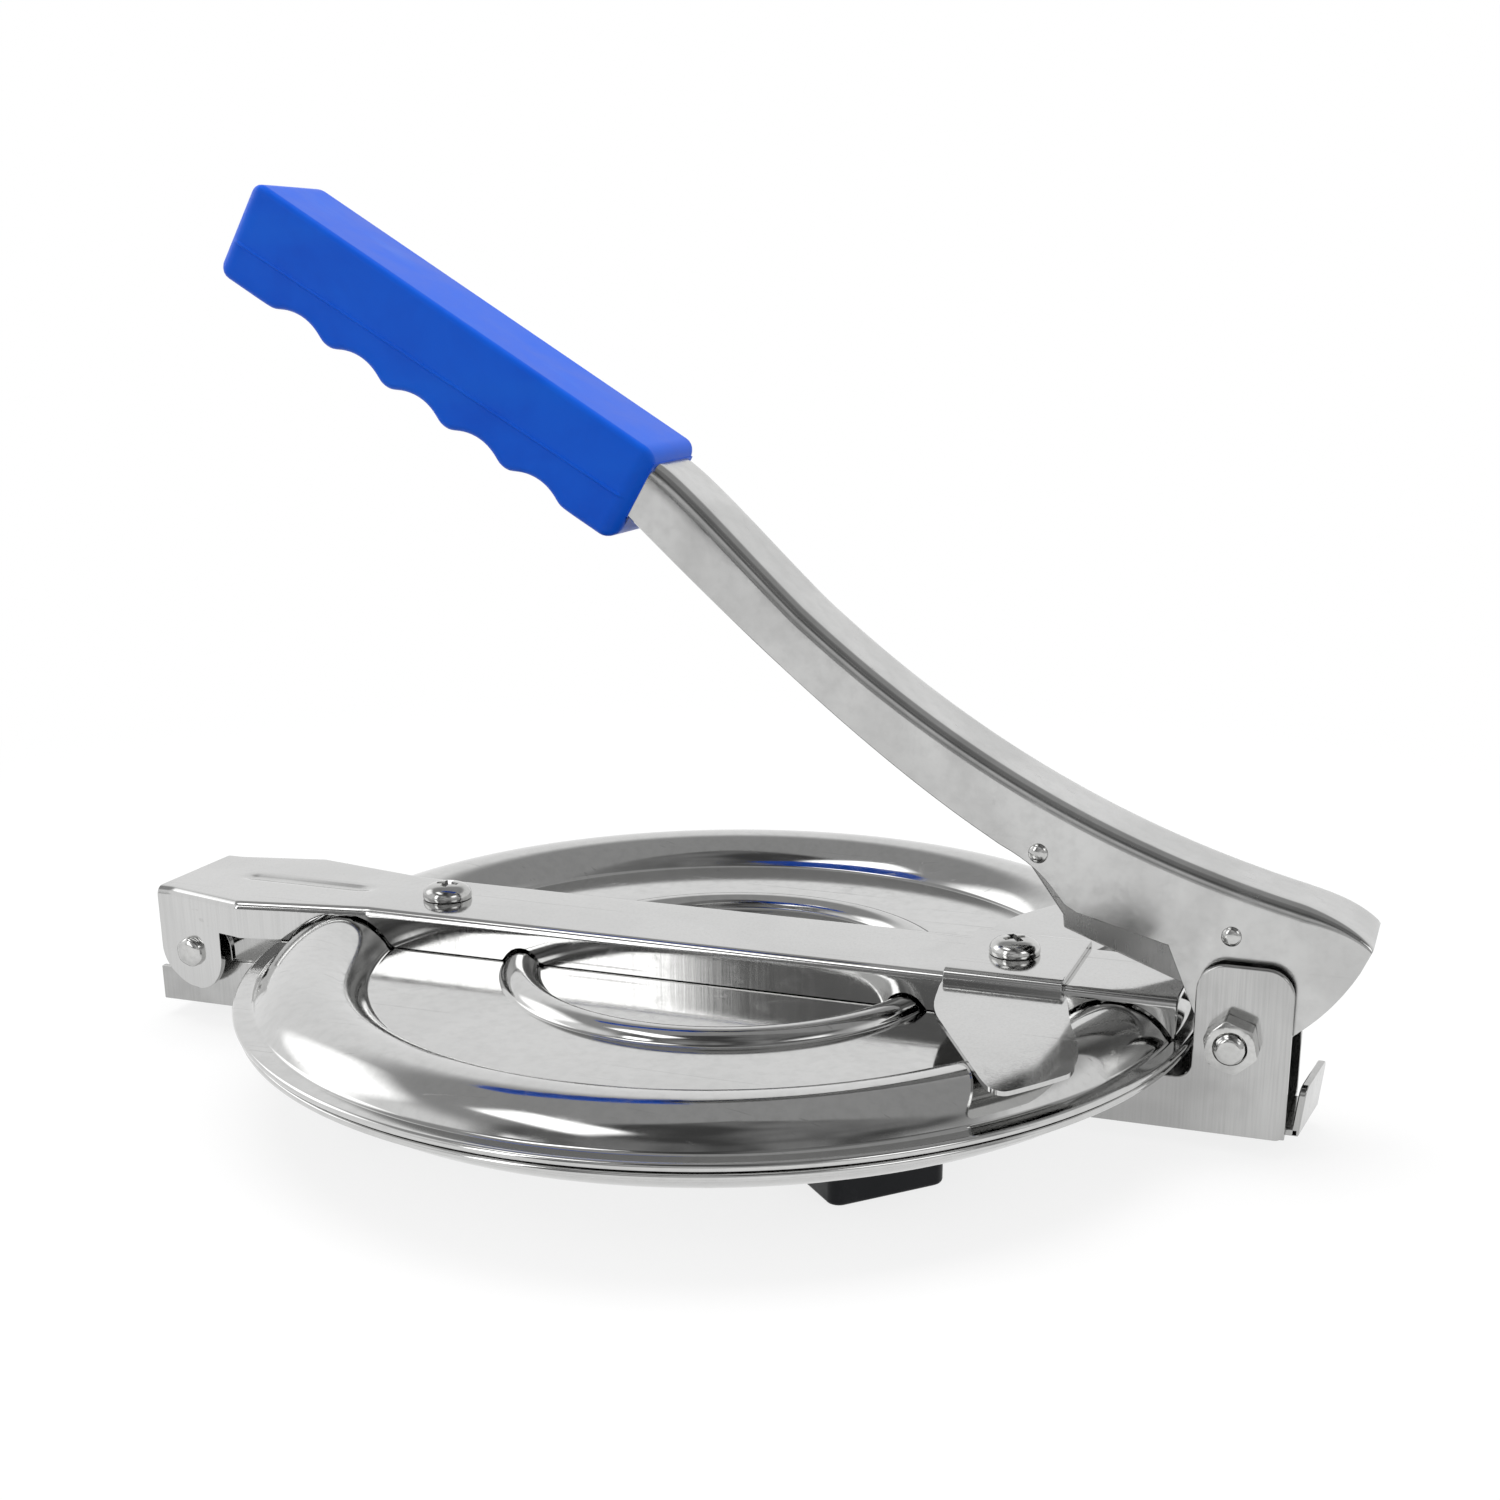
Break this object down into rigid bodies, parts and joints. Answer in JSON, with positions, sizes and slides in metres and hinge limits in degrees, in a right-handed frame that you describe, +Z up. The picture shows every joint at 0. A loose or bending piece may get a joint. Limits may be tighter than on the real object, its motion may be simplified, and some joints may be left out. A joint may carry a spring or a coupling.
{
  "type": "hand press for round flat breads",
  "caption": "Two-disc steel hand press for flat bread dough, with a hinged arm, an over-centre lever and a plastic grip.",
  "frame": {"origin": "on the table, under the centre of the discs, which is the centre of the bounding box's bottom", "axes": "+X along the arm from the rear hinge pin to the lever pivot, +Y away from the viewer across the arm, +Z up"},
  "size_m": [0.2217, 0.168, 0.1482],
  "materials": {
    "base_steel": "semi-bright rolled stainless steel",
    "disc_steel": "mirror-polished stainless steel",
    "plate_steel": "satin stainless steel",
    "arm_steel": "bright polished stainless steel",
    "lever_steel": "bright polished stainless steel, lightly clouded",
    "shoe_steel": "mill-finish stainless steel",
    "fastener_steel": "bright plated steel",
    "grip_plastic": "semi-gloss blue moulded plastic",
    "foot_plastic": "black moulded plastic"
  },
  "bodies": {
    "base": {"base_channel": "base_steel", "lower_disc": "disc_steel", "lower_press_plate": "plate_steel", "lower_standoffs": "fastener_steel", "base_screws": "fastener_steel", "foot_front_right": "foot_plastic", "foot_front_left": "foot_plastic", "foot_rear_left": "foot_plastic", "foot_rear_right": "foot_plastic", "foot_rivets": "fastener_steel", "hinge_pin": "fastener_steel", "pivot_bolt": "fastener_steel", "pivot_nut": "fastener_steel", "pivot_washers": "fastener_steel"},
    "arm": {"top_arm": "arm_steel", "arm_saddle": "arm_steel", "arm_screws": "fastener_steel", "upper_standoffs": "fastener_steel", "upper_disc": "disc_steel", "upper_press_plate": "plate_steel"},
    "lever": {"lever_channel": "lever_steel", "presser_shoe": "shoe_steel", "shoe_rivets": "fastener_steel", "grip": "grip_plastic"}
  },
  "joints": [
    {"name": "lever_pivot", "type": "hinge", "parent": "base", "child": "lever", "pos_m": [0.0903, 0, 0.0197], "axis": [0, 1, 0], "range_deg": [0, 52]},
    {"name": "arm_hinge", "type": "hinge", "parent": "base", "child": "arm", "pos_m": [-0.1018, 0, 0.0143], "axis": [0, -1, 0], "range_deg": [0, 5.2]}
  ],
  "couplings": [
    {"joint": "arm_hinge", "follows": "lever_pivot", "ratio": 0.1}
  ]
}
